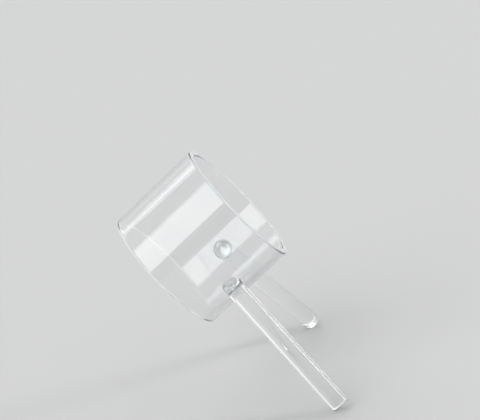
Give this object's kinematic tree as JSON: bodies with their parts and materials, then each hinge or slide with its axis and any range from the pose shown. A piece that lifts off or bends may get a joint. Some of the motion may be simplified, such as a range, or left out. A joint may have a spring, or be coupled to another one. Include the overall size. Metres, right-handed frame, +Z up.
{
  "type": "wine bottle stand",
  "caption": "Clear acrylic stand that holds a wine bottle at a slant in an open tube, carried by splayed round rod legs.",
  "frame": {"origin": "on the table, under the middle of the stand's bounding box, midway between the feet", "axes": "+Z up; +X towards the tube's raised end, where the bottle's neck comes out; +Y to the left of someone who looks along +X; the stand is symmetric about the XZ plane"},
  "size_m": [0.1234, 0.1618, 0.1582],
  "materials": {
    "acrylic_tube": "polished",
    "acrylic_rod": "polished",
    "acrylic_cement": "gloss"
  },
  "bodies": {
    "root": {"bottle_sleeve": "acrylic_tube", "left_leg": "acrylic_rod", "right_leg": "acrylic_rod", "left_cement_joint": "acrylic_cement", "right_cement_joint": "acrylic_cement"}
  },
  "joints": []
}
